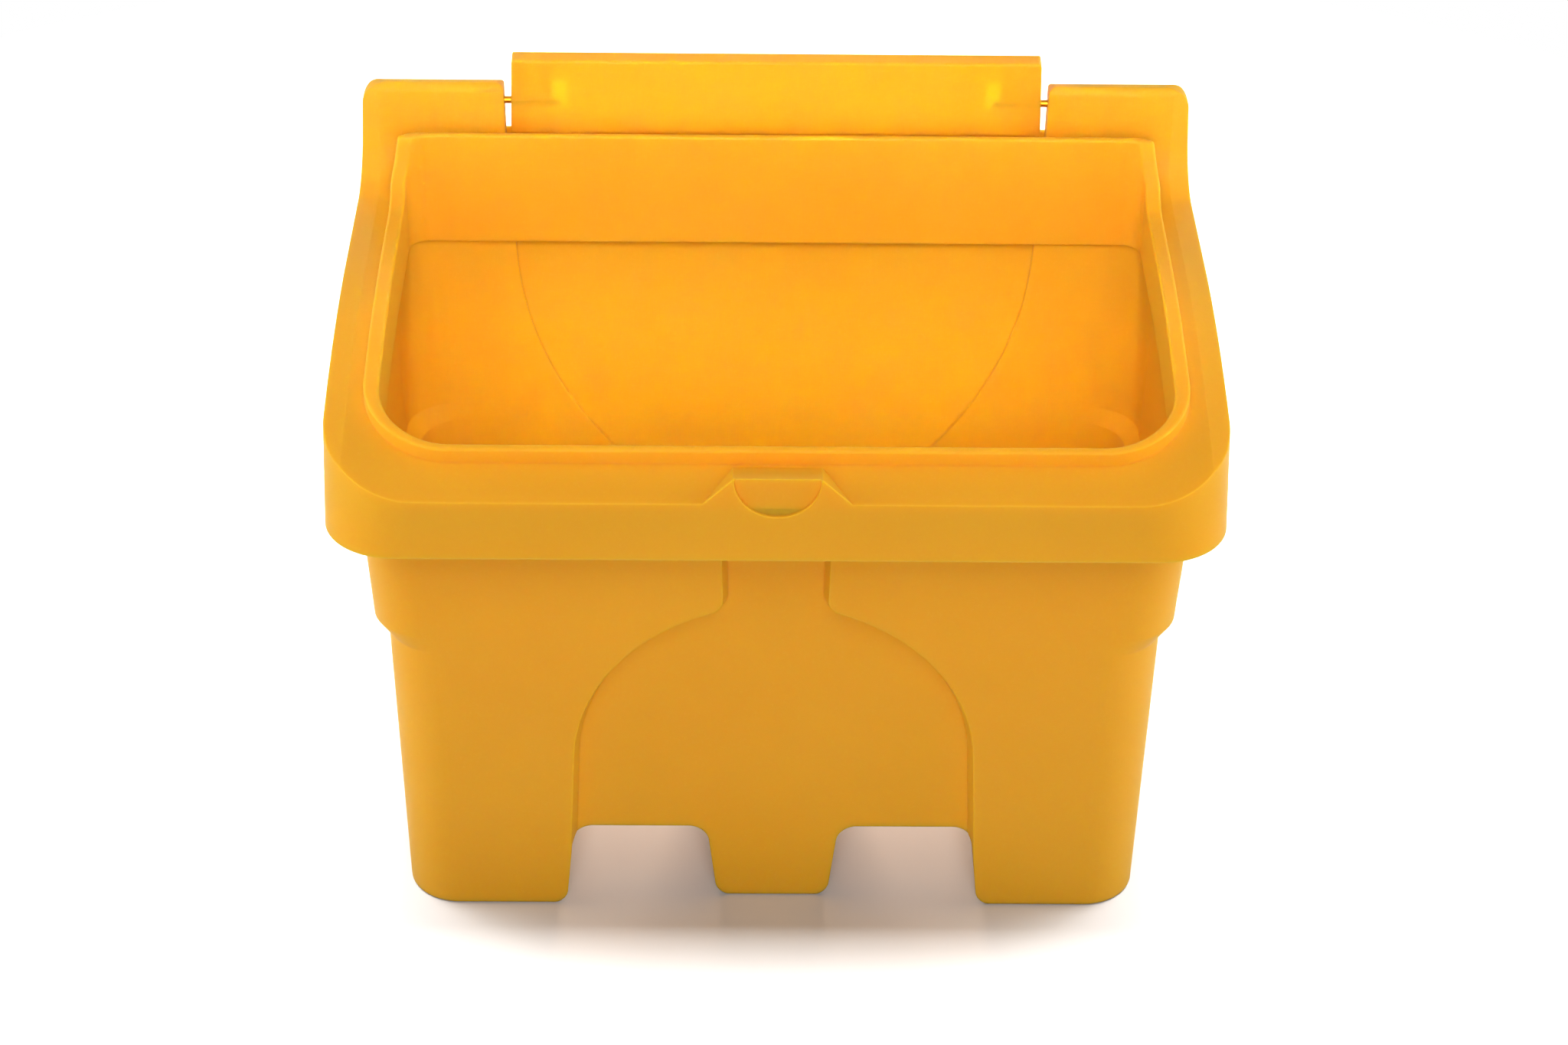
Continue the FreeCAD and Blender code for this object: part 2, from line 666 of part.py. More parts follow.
def rear_panel(name, grow, pushed_block):
    """The pushed-out panel of the rear wall, its outline grown outwards."""
    wide = RIM_X - size("panel_inset") + grow
    shoulder = RIM_X - size("panel_shoulder_inset") + grow
    foot = size("panel_foot_half_width") + grow
    right = (
        (foot, size("panel_foot") - grow, size("panel_foot_round")),
        (shoulder, size("panel_shoulder"), size("panel_round")),
        (wide, SKIRT_LOW + 140, 0),
    )
    left = tuple((-x, z, r) for x, z, r in reversed(right))
    view = prism(name + "_block", outline(name + "_view", "XZ", RIM_REAR, right + left),
                 V(0, -1, 0), RIM_REAR)
    return common(name, view, pushed_block)


def skid_edges(level):
    """The picks that round the lower edges of the skids, or of the hollow inside them."""
    def is_low(edge):
        return edge.BoundBox.ZMax < level.value + 0.01

    def is_beside_channel(edge):
        box = edge.BoundBox
        return is_low(edge) and box.XMax - box.XMin < 0.01 and max(
            abs(box.XMin), abs(box.XMax)) < size("channel_out_low").value + WALL.value + 1

    return [
        (size("skid_round").value - level.value, is_beside_channel),
        (size("foot_round").value, is_low),
    ]


GROUND = as_size(0)
wall_block = loft("wall_block", wall_sections("wall", NONE, GROUND, NONE))
panel_push = size("panel_depth")
pushed = loft("pushed_walls", wall_sections("pushed_wall", NONE, GROUND, panel_push))
wall_cut = cut("wall_cut", fuse("walls_with_panel", [
    wall_block, rear_panel("panel", NONE, pushed)]), [
    across("over_ledge", closed_above(falling_line(
        DECK - LEDGE, size("deck_arc_radius") - LEDGE, RIM_REAR)), RIM_X),
    recess("recess", NONE, loft("recess_floor", wall_sections(
        "recess_floor", size("recess_depth"), GROUND, NONE))),
    *channels("channel", NONE),
])
wall_form = picked_fillet("wall_form", wall_cut, skid_edges(GROUND))

cavity_block = loft("cavity_block", wall_sections("cavity", WALL, WALL, NONE))
cavity_pushed = loft("cavity_pushed", wall_sections("cavity_pushed", WALL, WALL, panel_push))
under_ledge = LEDGE + WALL
cavity_cut = cut("cavity_cut", fuse("cavity_with_panel", [
    cavity_block, rear_panel("panel_inside", -WALL, cavity_pushed)]), [
    across("over_cavity", closed_above(falling_line(
        DECK - under_ledge, size("deck_arc_radius") - under_ledge, RIM_REAR)), RIM_X),
    recess("recess_inside", WALL, loft("recess_inner_floor", wall_sections(
        "recess_inner_floor", size("recess_depth") + WALL, GROUND, NONE))),
    *channels("channel_inside", WALL),
])
cavity = picked_fillet("cavity", cavity_cut, skid_edges(WALL))

PIN_OUTER = TOWER_INNER + size("pin_in_tower")
PIN_INNER = PIN_OUTER - size("pin_length")


def pin_bore(name, sign, start, end, radius):
    """A round hole along the hinge axis on one side, from start to end."""
    bore = doc.addObject("Part::Cylinder", name)
    bore.setExpression("Radius", radius.text)
    bore.setExpression("Height", (end - start).text)
    turn = FreeCAD.Rotation(V(0, 1, 0), 90 * sign)
    bore.Placement = FreeCAD.Placement(V(start.value * sign, AXIS_Y.value, AXIS_Z.value), turn)
    bore.setExpression("Placement.Base.x", (start * sign).text)
    bore.setExpression("Placement.Base.y", AXIS_Y.text)
    bore.setExpression("Placement.Base.z", AXIS_Z.text)
    return bore


TOWER_BORE = size("pin_radius") + size("running_clearance")
bin_body = cut("bin_body", fuse("moulding", [rim, lip_band, wall_form]), [
    cavity,
    opening,
    pin_bore("tower_bore_right", 1, TOWER_INNER - 10, PIN_OUTER + size("pin_end_gap"), TOWER_BORE),
    pin_bore("tower_bore_left", -1, TOWER_INNER - 10, PIN_OUTER + size("pin_end_gap"), TOWER_BORE),
])

# The lid, drawn shut: a shallow cap that meets the rim's sides, with a raised tongue behind it.
LID_WALL = size("lid_wall")
GAP = size("lid_gap")
LID_ARC = size("lid_arc_radius")


LID_CORNER = between(size("skirt_corner_low"), size("skirt_corner_high"), size("lid_corner_share"))


def lid_block(name, inset, rear, rear_round):
    plan = rounded_plan(name + "_plan", SKIRT_LOW, RIM_X - inset, RIM_FRONT - inset, rear,
                        LID_CORNER - inset, rear_round)
    return prism(name, plan, V(0, 0, 1), ROOF - SKIRT_LOW)


over_lid = across("over_lid", closed_above(falling_line(LID_TOP, LID_ARC, RIM_REAR)), RIM_X + OVER)
lid_cap = cut("lid_cap", lid_block("lid_block", NONE, LID_REAR, NONE), [over_lid])


def on_lid_edge(edge):
    """An edge round the lid's top, but not the one at its back or those inside the top."""
    box = edge.BoundBox
    if box.ZMin < SKIRT_LOW.value + 1 or is_steep(edge):
        return False
    at_front = box.YMax < -RIM_FRONT.value + LID_CORNER.value + 1
    at_side = box.XMin > RIM_X.value - 1 or box.XMax < 1 - RIM_X.value
    return at_front or at_side


def on_inner_edge(edge):
    """The same edges round the lid's hollow."""
    box = edge.BoundBox
    if box.ZMin < SKIRT_LOW.value + 1 or is_steep(edge):
        return False
    at_front = box.YMax < -RIM_FRONT.value + LID_CORNER.value + 1
    inner = RIM_X.value - LID_WALL.value
    return at_front or box.XMin > inner - 1 or box.XMax < 1 - inner


lid_cap_round = picked_fillet("lid_cap_round", lid_cap, [(size("lid_round").value, on_lid_edge)])

gap_line = deck_line(GAP, TOWER_FRONT - GAP, RISE - GAP, as_size(FAR), NONE, RIM_REAR)
lid_shell = common("lid_shell", lid_cap_round, fuse("over_gap", [
    across("over_deck_gap", gap_line, RIM_X + OVER),
    *sloping_bands("over_band_gap", BAND_START, gap_line),
]))
lid_inner = cut("lid_inner", lid_block("lid_inner_block", LID_WALL, LID_REAR - LID_WALL,
                                       NONE), [
    across("over_lid_inner", closed_above(falling_line(
        LID_TOP - LID_WALL, LID_ARC - LID_WALL, RIM_REAR)), RIM_X + OVER)])
lid_hollow = picked_fillet("lid_hollow", lid_inner, [
    ((size("lid_round") - LID_WALL).value, on_inner_edge)])
over_lip = LIP_X + size("lid_lip_gap")
lip_mouth = prism("lip_mouth", outline("lip_mouth_plan", "XY", SKIRT_LOW, (
    (-over_lip, LIP_REAR - OVER, 0),
    (over_lip, LIP_REAR - OVER, 0),
    (over_lip, LID_REAR, 0),
    (-over_lip, LID_REAR, 0),
)), V(0, 0, 1), LID_TOP - LID_WALL - SKIRT_LOW)
NOTCH_GAP = size("lid_notch_gap")
tab_notch = prism("tab_notch", tab_outline("tab_notch_view", OVER - RIM_FRONT, TAB_TOP + NOTCH_GAP,
                                           NOTCH_GAP), V(0, -1, 0), as_size(OVER * 2))

# The tongue: it carries the lid on its pins, and stands up behind the opening when the lid hangs.
taper = size("tongue_taper")
foot_half = TONGUE_X + taper * (AXIS_Y - TONGUE_FOOT)
end_half = TONGUE_X - taper * size("tongue_reach")
tongue_corner = size("tongue_corner")
tongue_plan = prism("tongue_plan_block", outline("tongue_plan", "XY", TONGUE_LOW - OVER, (
    (-foot_half, TONGUE_FOOT - 10, 0),
    (foot_half, TONGUE_FOOT - 10, 0),
    (end_half, TONGUE_END, tongue_corner),
    (-end_half, TONGUE_END, tongue_corner),
)), V(0, 0, 1), as_size(PAST))
root = size("lid_wall") * 0.75
step_up = TONGUE_TOP - LID_TOP
tongue = common("tongue", tongue_plan, across("tongue_profile", (
    (TONGUE_FOOT - root, LID_TOP - root, 0),
    (TONGUE_FOOT, LID_TOP, 0),
    (TONGUE_FOOT + step_up, TONGUE_TOP, size("tongue_shoulder_round")),
    (TONGUE_END, TONGUE_TOP, size("tongue_round")),
    (TONGUE_END, TONGUE_LOW, size("tongue_low_round")),
    (LID_REAR, TONGUE_LOW, 0),
    (LID_REAR, LID_TOP - root, 0),
), TONGUE_X + OVER))

RIB_IN = TOWER_INNER - size("rib_inset")
RIB_OUT = RIB_IN + size("rib_thick")
cell_front, cell_rear = LID_REAR + LID_WALL, TONGUE_END - LID_WALL
cell_end = TONGUE_X - size("tongue_end_block")


def pocket(name, left, right, near, far, skin):
    """A pocket cut up into the tongue from below, that leaves the skin under its top."""
    corner = size("cell_corner")
    plan = outline(name + "_plan", "XY", TONGUE_LOW - OVER, (
        (left, near, corner),
        (right, near, corner),
        (right, far, corner),
        (left, far, corner),
    ))
    return prism(name, plan, V(0, 0, 1), TONGUE_TOP - skin - TONGUE_LOW + OVER)


def tongue_cell(name, left, right):
    """A hollow in the tongue's underside between two distances along the width."""
    return pocket(name, left, right, cell_front, cell_rear, LID_WALL)


def thin_spot(name, sign):
    """A pocket under the tongue's top that leaves a thin skin, where light shines through."""
    middle = (TOWER_INNER - size("thin_inset")) * sign
    near = AXIS_Y + size("thin_shift") - size("thin_length") / 2
    half = size("thin_width") / 2
    return pocket(name, middle - half, middle + half, near, near + size("thin_length"),
                  size("thin_skin"))


LID_BORE = size("pin_radius") + size("tight_clearance")
bore_start = PIN_INNER - size("pin_end_gap")
bore_end = TONGUE_X + 5
lid = cut("lid", fuse("lid_and_tongue", [lid_shell, tongue]), [
    lid_hollow,
    lip_mouth,
    tab_notch,
    tongue_cell("middle_cell", -RIB_IN, RIB_IN),
    tongue_cell("right_cell", RIB_OUT, cell_end),
    tongue_cell("left_cell", -cell_end, -RIB_OUT),
    thin_spot("right_thin_spot", 1),
    thin_spot("left_thin_spot", -1),
    pin_bore("lid_bore_right", 1, bore_start, bore_end, LID_BORE),
    pin_bore("lid_bore_left", -1, bore_start, bore_end, LID_BORE),
])
swing = FreeCAD.Rotation(V(1, 0, 0), -size("open_angle").value)
axis_point = V(0, AXIS_Y.value, AXIS_Z.value)
lid.Placement = FreeCAD.Placement(axis_point - swing.multVec(axis_point), swing)


# The hinge pins: plain turned steel rods with chamfered ends.
def hinge_pin(name, sign):
    body = doc.addObject("PartDesign::Body", name)
    sketch = body.newObject("Sketcher::SketchObject", name + "_section")
    planes = [item for item in body.Origin.OriginFeatures if item.Role == "XY_Plane"]
    sketch.AttachmentSupport = [(planes[0], "")]
    sketch.MapMode = "FlatFace"
    length = size("pin_length")
    radius, chamfer = size("pin_radius"), size("pin_chamfer")
    add_outline(sketch, (
        (NONE, NONE, 0),
        (length, NONE, 0),
        (length, radius - chamfer, 0),
        (length - chamfer, radius, 0),
        (chamfer, radius, 0),
        (NONE, radius - chamfer, 0),
    ))
    turned = body.newObject("PartDesign::Revolution", name + "_turned")
    turned.Profile = sketch
    turned.ReferenceAxis = (sketch, ["H_Axis"])
    turned.Angle = 360
    body.Tip = turned
    facing = FreeCAD.Rotation(V(0, 0, 1), 0 if sign > 0 else 180)
    body.Placement = FreeCAD.Placement(
        V(sign * PIN_INNER.value, AXIS_Y.value, AXIS_Z.value), facing)
    return body


pin_right = hinge_pin("hinge_pin_right", 1)
pin_left = hinge_pin("hinge_pin_left", -1)

NODES = {
    "bin_body": bin_body,
    "lid": lid,
    "hinge_pin_left": pin_left,
    "hinge_pin_right": pin_right,
}
doc.recompute()
for item in doc.Objects:
    if "Invalid" in item.State or "Error" in item.State:
        raise RuntimeError(item.Name + " did not compute")
for node, item in NODES.items():
    item.Label = node
    shape = item.Shape
    if shape.isNull() or not shape.isValid() or len(shape.Solids) != 1:
        raise RuntimeError(node + " is not one sound solid")
    shape.exportStep(os.path.join("parts", node + ".step"))
    print(node, round(shape.Volume / 1000, 1), "cm3")
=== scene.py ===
import math

import bpy
import numpy as np
from mathutils import Matrix, Vector

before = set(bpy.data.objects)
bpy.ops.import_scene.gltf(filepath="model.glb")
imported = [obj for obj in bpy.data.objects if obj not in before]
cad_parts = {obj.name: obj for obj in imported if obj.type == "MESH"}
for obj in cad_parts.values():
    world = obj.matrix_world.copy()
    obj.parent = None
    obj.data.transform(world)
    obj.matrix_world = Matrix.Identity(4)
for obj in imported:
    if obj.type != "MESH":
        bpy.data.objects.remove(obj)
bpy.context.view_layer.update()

bl_info = {
    "name": "Grit salt bin",
    "version": (1, 0, 0),
    "blender": (4, 5, 0),
    "location": "View3D > Sidebar > Grit bin",
    "description": "Finishes the moulded bin, its lid and its hinge pins, and sets up a pale studio",
    "category": "Object",
}

MM = 0.001
# the Mix node's colour sockets by number, because its sockets for plain numbers have the same names
MIX_A, MIX_B, MIX_RESULT = 6, 7, 2


def linear(hex_colour):
    """An sRGB hex colour as linear RGBA: the usual sRGB curve undone, channel by channel."""
    channels = [int(hex_colour[i:i + 2], 16) / 255 for i in (1, 3, 5)]
    return [c / 12.92 if c <= 0.04045 else ((c + 0.055) / 1.055) ** 2.4 for c in channels] + [1.0]


def add(tree, kind, inputs=None, **properties):
    """Adds a node and sets its properties. For each of its inputs, by name or number, inputs gives
    the output socket that is linked to it, or a plain value."""
    node = tree.nodes.new(kind)
    for name, value in properties.items():
        setattr(node, name, value)
    for key, source in (inputs or {}).items():
        socket = node.inputs[key]
        if isinstance(source, bpy.types.NodeSocket):
            tree.links.new(source, socket)
        else:
            socket.default_value = source
    return node


def new_material(name):
    """An empty material, and its node tree."""
    material = bpy.data.materials.new(name)
    material.use_nodes = True
    material.node_tree.nodes.clear()
    return material, material.node_tree


def set_only_material(obj, material):
    """Gives every face of a piece the same material."""
    mesh = obj.data
    mesh.materials.clear()
    mesh.materials.append(material)
    mesh.polygons.foreach_set("material_index", [0] * len(mesh.polygons))


def rotomoulded_polyethylene(settings):
    """Rotationally moulded polyethylene, yellow all through: waxy and translucent, with a fine
    orange-peel skin, faint cloudy flow marks, and painted floor shade with a little road dust low down."""
    material, tree = new_material("rotomoulded_polyethylene")
    place = add(tree, "ShaderNodeTexCoord").outputs["Object"]
    # cloudy flow marks, where the powder melted onto the mould in patches
    clouds = add(tree, "ShaderNodeTexNoise", {
        "Vector": place, "Scale": 1 / settings.cloud_span, "Detail": 2.0, "Roughness": 0.5})
    cloud_share = add(tree, "ShaderNodeMapRange", {
        "Value": clouds.outputs["Fac"], "From Min": 0.3, "From Max": 0.7})
    skin = add(tree, "ShaderNodeMix", {
        "Factor": cloud_share.outputs["Result"], MIX_A: linear(settings.deep_colour_hex),
        MIX_B: linear(settings.colour_hex)}, data_type="RGBA")
    # fine speckle of unmixed pigment, drawn coarser than it is, so that it shows
    specks = add(tree, "ShaderNodeTexNoise", {
        "Vector": place, "Scale": 1 / settings.speck_span, "Detail": 2.0, "Roughness": 0.7})
    speck_share = add(tree, "ShaderNodeMapRange", {
        "Value": specks.outputs["Fac"], "From Min": 0.55, "From Max": 0.8,
        "To Min": 0.0, "To Max": settings.speck_strength})
    speckled = add(tree, "ShaderNodeMix", {
        "Factor": speck_share.outputs["Result"], MIX_A: skin.outputs[MIX_RESULT],
        MIX_B: linear(settings.speck_colour_hex)}, data_type="RGBA")
    # painted shade from the floor, with a little road dust: the colour darkens towards the ground
    height = add(tree, "ShaderNodeSeparateXYZ", {0: place}).outputs["Z"]
    dust_and_shade_share = add(tree, "ShaderNodeMapRange", {
        "Value": height, "From Min": 0.0, "From Max": settings.dust_and_shade_height,
        "To Min": settings.dust_and_shade_strength, "To Max": 0.0})
    dusty_and_shaded = add(tree, "ShaderNodeMix", {
        "Factor": dust_and_shade_share.outputs["Result"], MIX_A: speckled.outputs[MIX_RESULT],
        MIX_B: linear(settings.dust_and_shade_hex)}, data_type="RGBA")
    # long shallow waves, where the wall shrank as it cooled, and the mould's fine orange peel
    soft_edge = add(tree, "ShaderNodeBevel", {"Radius": settings.edge_round}, samples=6)
    waves = add(tree, "ShaderNodeTexNoise", {
        "Vector": place, "Scale": 1 / settings.wave_span, "Detail": 1.0})
    wavy = add(tree, "ShaderNodeBump", {
        "Height": waves.outputs["Fac"], "Distance": settings.wave_height, "Strength": 0.3,
        "Normal": soft_edge.outputs["Normal"]})
    peel = add(tree, "ShaderNodeTexNoise", {
        "Vector": place, "Scale": 1 / settings.peel_span, "Detail": 2.0})
    bump = add(tree, "ShaderNodeBump", {
        "Height": peel.outputs["Fac"], "Distance": settings.peel_height, "Strength": 0.5,
        "Normal": wavy.outputs["Normal"]})
    rough = add(tree, "ShaderNodeMapRange", {
        "Value": cloud_share.outputs["Result"], "To Min": settings.roughness - settings.rough_swing,
        "To Max": settings.roughness + settings.rough_swing})
    # red and green light go deep into the plastic and blue hardly at all, which makes it glow golden
    shader = add(tree, "ShaderNodeBsdfPrincipled", {
        "Base Color": dusty_and_shaded.outputs[MIX_RESULT],
        "Roughness": rough.outputs["Result"],
        "Normal": bump.outputs["Normal"],
        "IOR": 1.51,
        "Specular IOR Level": settings.shine,
        "Subsurface Weight": settings.translucency,
        "Subsurface Radius": (1.0, 0.95, 0.22),
        "Subsurface Scale": settings.scatter_depth,
    })
    add(tree, "ShaderNodeOutputMaterial", {"Surface": shader.outputs["BSDF"]})
    return material


def zinc_plated_steel(settings):
    """Turned steel bar under a yellow passivated zinc plating: golden metal with fine rings round
    it, dulled a little."""
    material, tree = new_material("zinc_plated_steel")
    place = add(tree, "ShaderNodeTexCoord").outputs["Object"]
    along = add(tree, "ShaderNodeSeparateXYZ", {0: place}).outputs["X"]
    # the tool's rings, drawn further apart than they are, so that they show
    turns = add(tree, "ShaderNodeMath", {0: along, 1: 2 * math.pi / settings.ring_pitch},
                operation="MULTIPLY")
    rings = add(tree, "ShaderNodeMath", {0: turns.outputs[0]}, operation="SINE")
    tarnish = add(tree, "ShaderNodeTexNoise", {
        "Vector": place, "Scale": 1 / settings.tarnish_span, "Detail": 3.0})
    bright_share = add(tree, "ShaderNodeMapRange", {
        "Value": tarnish.outputs["Fac"], "From Min": 0.35, "From Max": 0.65})
    colour = add(tree, "ShaderNodeMix", {
        "Factor": bright_share.outputs["Result"], MIX_A: linear(settings.tarnish_hex),
        MIX_B: linear(settings.colour_hex)}, data_type="RGBA")
    rough = add(tree, "ShaderNodeMapRange", {
        "Value": tarnish.outputs["Fac"], "To Min": 0.25, "To Max": 0.45})
    bump = add(tree, "ShaderNodeBump", {
        "Height": rings.outputs[0], "Distance": settings.ring_height, "Strength": 0.5})
    shader = add(tree, "ShaderNodeBsdfPrincipled", {
        "Base Color": colour.outputs[MIX_RESULT], "Metallic": 1.0,
        "Roughness": rough.outputs["Result"], "Normal": bump.outputs["Normal"]})
    add(tree, "ShaderNodeOutputMaterial", {"Surface": shader.outputs["BSDF"]})
    return material


class GritBinPlastic(bpy.types.PropertyGroup):
    """Sizes and colours of the moulded plastic."""
    colour_hex: bpy.props.StringProperty(
        name="Colour", description="The plastic's colour as sRGB hex", default="#ECA927")
    deep_colour_hex: bpy.props.StringProperty(
        name="Deep colour", description="The darker clouds in the plastic", default="#EAA524")
    speck_colour_hex: bpy.props.StringProperty(
        name="Speck colour", description="Pale specks in the plastic", default="#FCC850")
    # painted shade: this darker colour near the ground stands for the floor's shade as well as road dust
    dust_and_shade_hex: bpy.props.StringProperty(
        name="Dust and shade colour", description="Dust and painted shade low on the walls", default="#C08A34")
    cloud_span: bpy.props.FloatProperty(
        name="Cloud span", description="Size of the cloudy flow marks",
        default=220 * MM, subtype="DISTANCE", unit="LENGTH")
    speck_span: bpy.props.FloatProperty(
        name="Speck span", description="Distance between specks",
        default=3 * MM, subtype="DISTANCE", unit="LENGTH")
    speck_strength: bpy.props.FloatProperty(
        name="Speck strength", description="How much of the speck colour shows in a speck",
        default=0.10, min=0.0, max=1.0)
    # how high and how strongly the painted floor shade and the dust darken the walls
    dust_and_shade_height: bpy.props.FloatProperty(
        name="Dust and shade height", description="How far up the walls the dust and painted shade reach",
        default=350 * MM, subtype="DISTANCE", unit="LENGTH")
    dust_and_shade_strength: bpy.props.FloatProperty(
        name="Dust and shade strength", description="How much of the dust and shade colour shows at the ground",
        default=0.10, min=0.0, max=1.0)
    wave_span: bpy.props.FloatProperty(
        name="Wave span", description="Distance between the walls' long shallow waves",
        default=60 * MM, subtype="DISTANCE", unit="LENGTH")
    wave_height: bpy.props.FloatProperty(
        name="Wave height", description="Height of the walls' long shallow waves",
        default=0.8 * MM, subtype="DISTANCE", unit="LENGTH")
    peel_span: bpy.props.FloatProperty(
        name="Peel span", description="Distance between the bumps of the orange peel",
        default=2.5 * MM, subtype="DISTANCE", unit="LENGTH")
    peel_height: bpy.props.FloatProperty(
        name="Peel height", description="Height of the bumps of the orange peel",
        default=0.05 * MM, subtype="DISTANCE", unit="LENGTH")
    edge_round: bpy.props.FloatProperty(
        name="Edge rounding", description="How softly the moulding's edges catch the light",
        default=2.5 * MM, subtype="DISTANCE", unit="LENGTH")
    roughness: bpy.props.FloatProperty(
        name="Roughness", description="Roughness of the moulded skin, 0 being a mirror",
        default=0.5, min=0.0, max=1.0)
    rough_swing: bpy.props.FloatProperty(
        name="Roughness swing", description="How far the flow marks raise and lower the roughness",
        default=0.04, min=0.0, max=0.5)
    shine: bpy.props.FloatProperty(
        name="Shine", description="Strength of the surface's reflections, 0.5 being plain plastic",
        default=0.05, min=0.0, max=1.0)
    translucency: bpy.props.FloatProperty(
        name="Translucency", description="Share of the light that scatters inside the plastic",
        default=1.0, min=0.0, max=1.0)
    scatter_depth: bpy.props.FloatProperty(
        name="Scatter depth", description="How far light travels inside the plastic",
        default=13 * MM, subtype="DISTANCE", unit="LENGTH")


class GritBinSteel(bpy.types.PropertyGroup):
    """Sizes and colours of the hinge pins' plating."""
    colour_hex: bpy.props.StringProperty(
        name="Colour", description="The plating's colour as sRGB hex", default="#CC861E")
    tarnish_hex: bpy.props.StringProperty(
        name="Tarnish", description="The plating's dull patches", default="#B87616")
    tarnish_span: bpy.props.FloatProperty(
        name="Tarnish span", description="Size of the plating's dull patches",
        default=6 * MM, subtype="DISTANCE", unit="LENGTH")
    ring_pitch: bpy.props.FloatProperty(
        name="Ring pitch", description="Distance between the tool's rings along a pin",
        default=0.8 * MM, subtype="DISTANCE", unit="LENGTH")
    ring_height: bpy.props.FloatProperty(
        name="Ring height", description="Height of the tool's rings",
        default=0.01 * MM, subtype="DISTANCE", unit="LENGTH")


class GritBinStudio(bpy.types.PropertyGroup):
    """The floor, the lights and the camera."""
    floor_half: bpy.props.FloatProperty(
        name="Floor half width", description="Half the width of the square floor",
        default=20.0, subtype="DISTANCE", unit="LENGTH")
    floor_hex: bpy.props.StringProperty(
        name="Floor", description="Colour of the floor", default="#808080")
    floor_gain: bpy.props.FloatProperty(
        name="Floor gain", description="Share of the lamps' light that the camera sees the floor return",
        default=0.75, min=0.0, max=4.0)
    sky_strength: bpy.props.FloatProperty(
        name="Surrounding light", description="Strength of the even light from all round",
        default=0.05, min=0.0)
    paper_power: bpy.props.FloatProperty(
        name="Paper lights", description="Power of each lamp above that shines on the floor",
        default=150.0, unit="POWER")
    front_paper_power: bpy.props.FloatProperty(
        name="Front paper light", description="Power of the lamp in front that shines on the floor",
        default=75.0, unit="POWER")
    lit_radius: bpy.props.FloatProperty(
        name="Lit radius", description="How far out the floor shows the lamps' light and shadow",
        default=1.2, subtype="DISTANCE", unit="LENGTH")
    white_radius: bpy.props.FloatProperty(
        name="White radius", description="How far out the floor has faded to plain white",
        default=2.2, subtype="DISTANCE", unit="LENGTH")
    front_power: bpy.props.FloatProperty(
        name="Front light", description="Power of the large light in front",
        default=56.0, unit="POWER")
    high_power: bpy.props.FloatProperty(
        name="High light", description="Power of the large light high up in front",
        default=44.0, unit="POWER")
    opening_power: bpy.props.FloatProperty(
        name="Opening light", description="Power of the narrow lamp that shines into the opening",
        default=0.58, unit="POWER")
    strip_power: bpy.props.FloatProperty(
        name="Strip light", description="Power of the narrow lamp that shines on the towers",
        default=0.42, unit="POWER")
    back_power: bpy.props.FloatProperty(
        name="Back light", description="Power of the large light behind",
        default=50.0, unit="POWER")
    low_power: bpy.props.FloatProperty(
        name="Low light", description="Power of the low light that shines through the channels",
        default=225.0, unit="POWER")
    low_hex: bpy.props.StringProperty(
        name="Low light's colour", description="Warm tone of the light that comes through the channels",
        default="#FFDCBE")
    side_power: bpy.props.FloatProperty(
        name="Side lights", description="Power of the light on each side",
        default=46.0, unit="POWER")
    camera_pitch: bpy.props.FloatProperty(
        name="Camera pitch", description="How far the camera looks down",
        default=math.radians(33.6), subtype="ANGLE", unit="ROTATION")
    camera_yaw: bpy.props.FloatProperty(
        name="Camera yaw", description="How far the camera looks to the right",
        default=math.radians(0.86), subtype="ANGLE", unit="ROTATION")
    camera_roll: bpy.props.FloatProperty(
        name="Camera roll", description="How far the camera leans",
        default=math.radians(0.81), subtype="ANGLE", unit="ROTATION")
    camera_aim: bpy.props.FloatVectorProperty(
        name="Camera aim", description="The point that the camera looks at",
        default=(0.0109, 0.015, 0.3255), subtype="TRANSLATION", unit="LENGTH")
    camera_distance: bpy.props.FloatProperty(
        name="Camera distance", description="Camera to the point that it looks at",
        default=3.7467, subtype="DISTANCE", unit="LENGTH")
    camera_lens: bpy.props.FloatProperty(
        name="Lens", description="Focal length in millimetres on a sensor 36 mm wide",
        default=80.68, unit="CAMERA")


class GRITBIN_OT_mouldings(bpy.types.Operator):
    """Gives the bin and its lid their moulded plastic"""
    bl_idname = "gritbin.mouldings"
    bl_label = "Bin and lid"

    def execute(self, context):
        plastic = rotomoulded_polyethylene(context.scene.grit_bin_plastic)
        for node in ("bin_body", "lid"):
            set_only_material(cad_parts[node], plastic)
        return {"FINISHED"}


class GRITBIN_OT_pins(bpy.types.Operator):
    """Gives the two hinge pins their yellow zinc-plated steel"""
    bl_idname = "gritbin.pins"
    bl_label = "Hinge pins"

    def execute(self, context):
        steel = zinc_plated_steel(context.scene.grit_bin_steel)
        for node in ("hinge_pin_left", "hinge_pin_right"):
            set_only_material(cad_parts[node], steel)
        return {"FINISHED"}


def flat_sheet(name, half):
    """A level square round the origin: corners at plus and minus half in x and y, z = 0."""
    u, v = np.meshgrid(np.array([-half, half]), np.array([-half, half]))
    points = np.stack([u.ravel(), v.ravel(), np.zeros(4)], axis=1)
    mesh = bpy.data.meshes.new(name)
    mesh.from_pydata(points.tolist(), [], [(0, 1, 3, 2)])
    mesh.update()
    sheet = bpy.data.objects.new(name, mesh)
    bpy.context.collection.objects.link(sheet)
    return sheet


